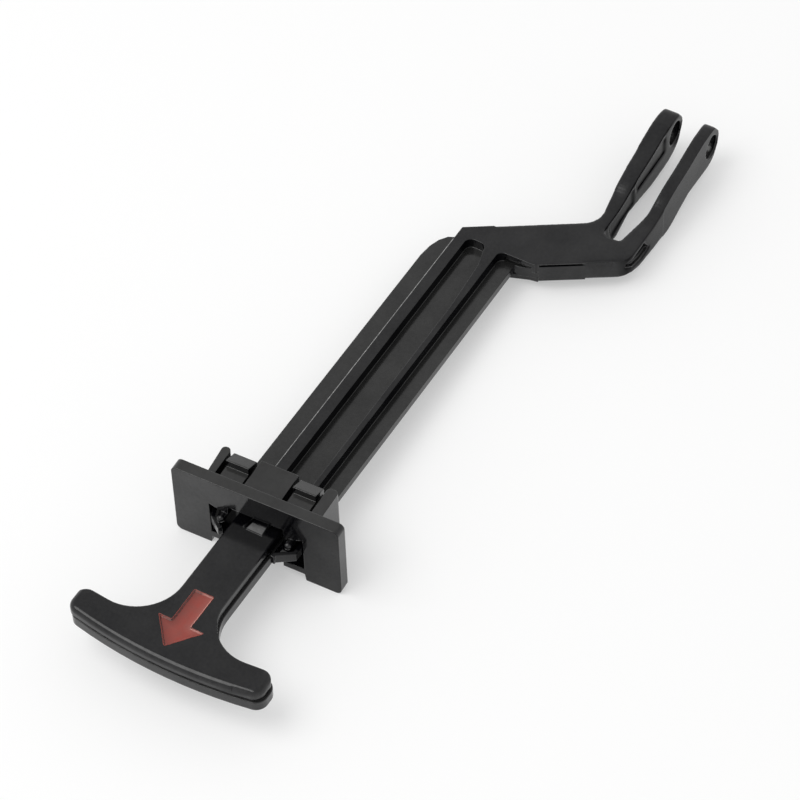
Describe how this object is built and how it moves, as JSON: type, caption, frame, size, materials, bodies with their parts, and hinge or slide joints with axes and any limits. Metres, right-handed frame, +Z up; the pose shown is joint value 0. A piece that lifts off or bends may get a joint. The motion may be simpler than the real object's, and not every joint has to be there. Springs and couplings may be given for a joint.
{
  "type": "bonnet release lever",
  "caption": "Pull lever with a T grip, a ribbed arm and a forked end for the release cable, sliding in a snap-in panel guide.",
  "frame": {"origin": "centre line of the stem on the lever's top face, in the plane of the guide's front face, where the lever passes through the panel", "axes": "+X along the lever from the T grip towards the fork, +Z up out of the lever's flat top face, -Y towards the side the fork is offset to"},
  "size_m": [0.1797, 0.0534, 0.0194],
  "materials": {
    "lever": "black, satin, fine spark-eroded grain",
    "arrow_infill": "muted red paint, slightly rough",
    "guide": "black, satin"
  },
  "bodies": {
    "guide": {"guide": "guide"},
    "lever": {"lever": "lever", "arrow_infill": "arrow_infill"}
  },
  "joints": [
    {"name": "lever_slide", "type": "slide", "parent": "guide", "child": "lever", "axis": [-1, 0, 0], "range_m": [-0.016, 0.0095]}
  ]
}
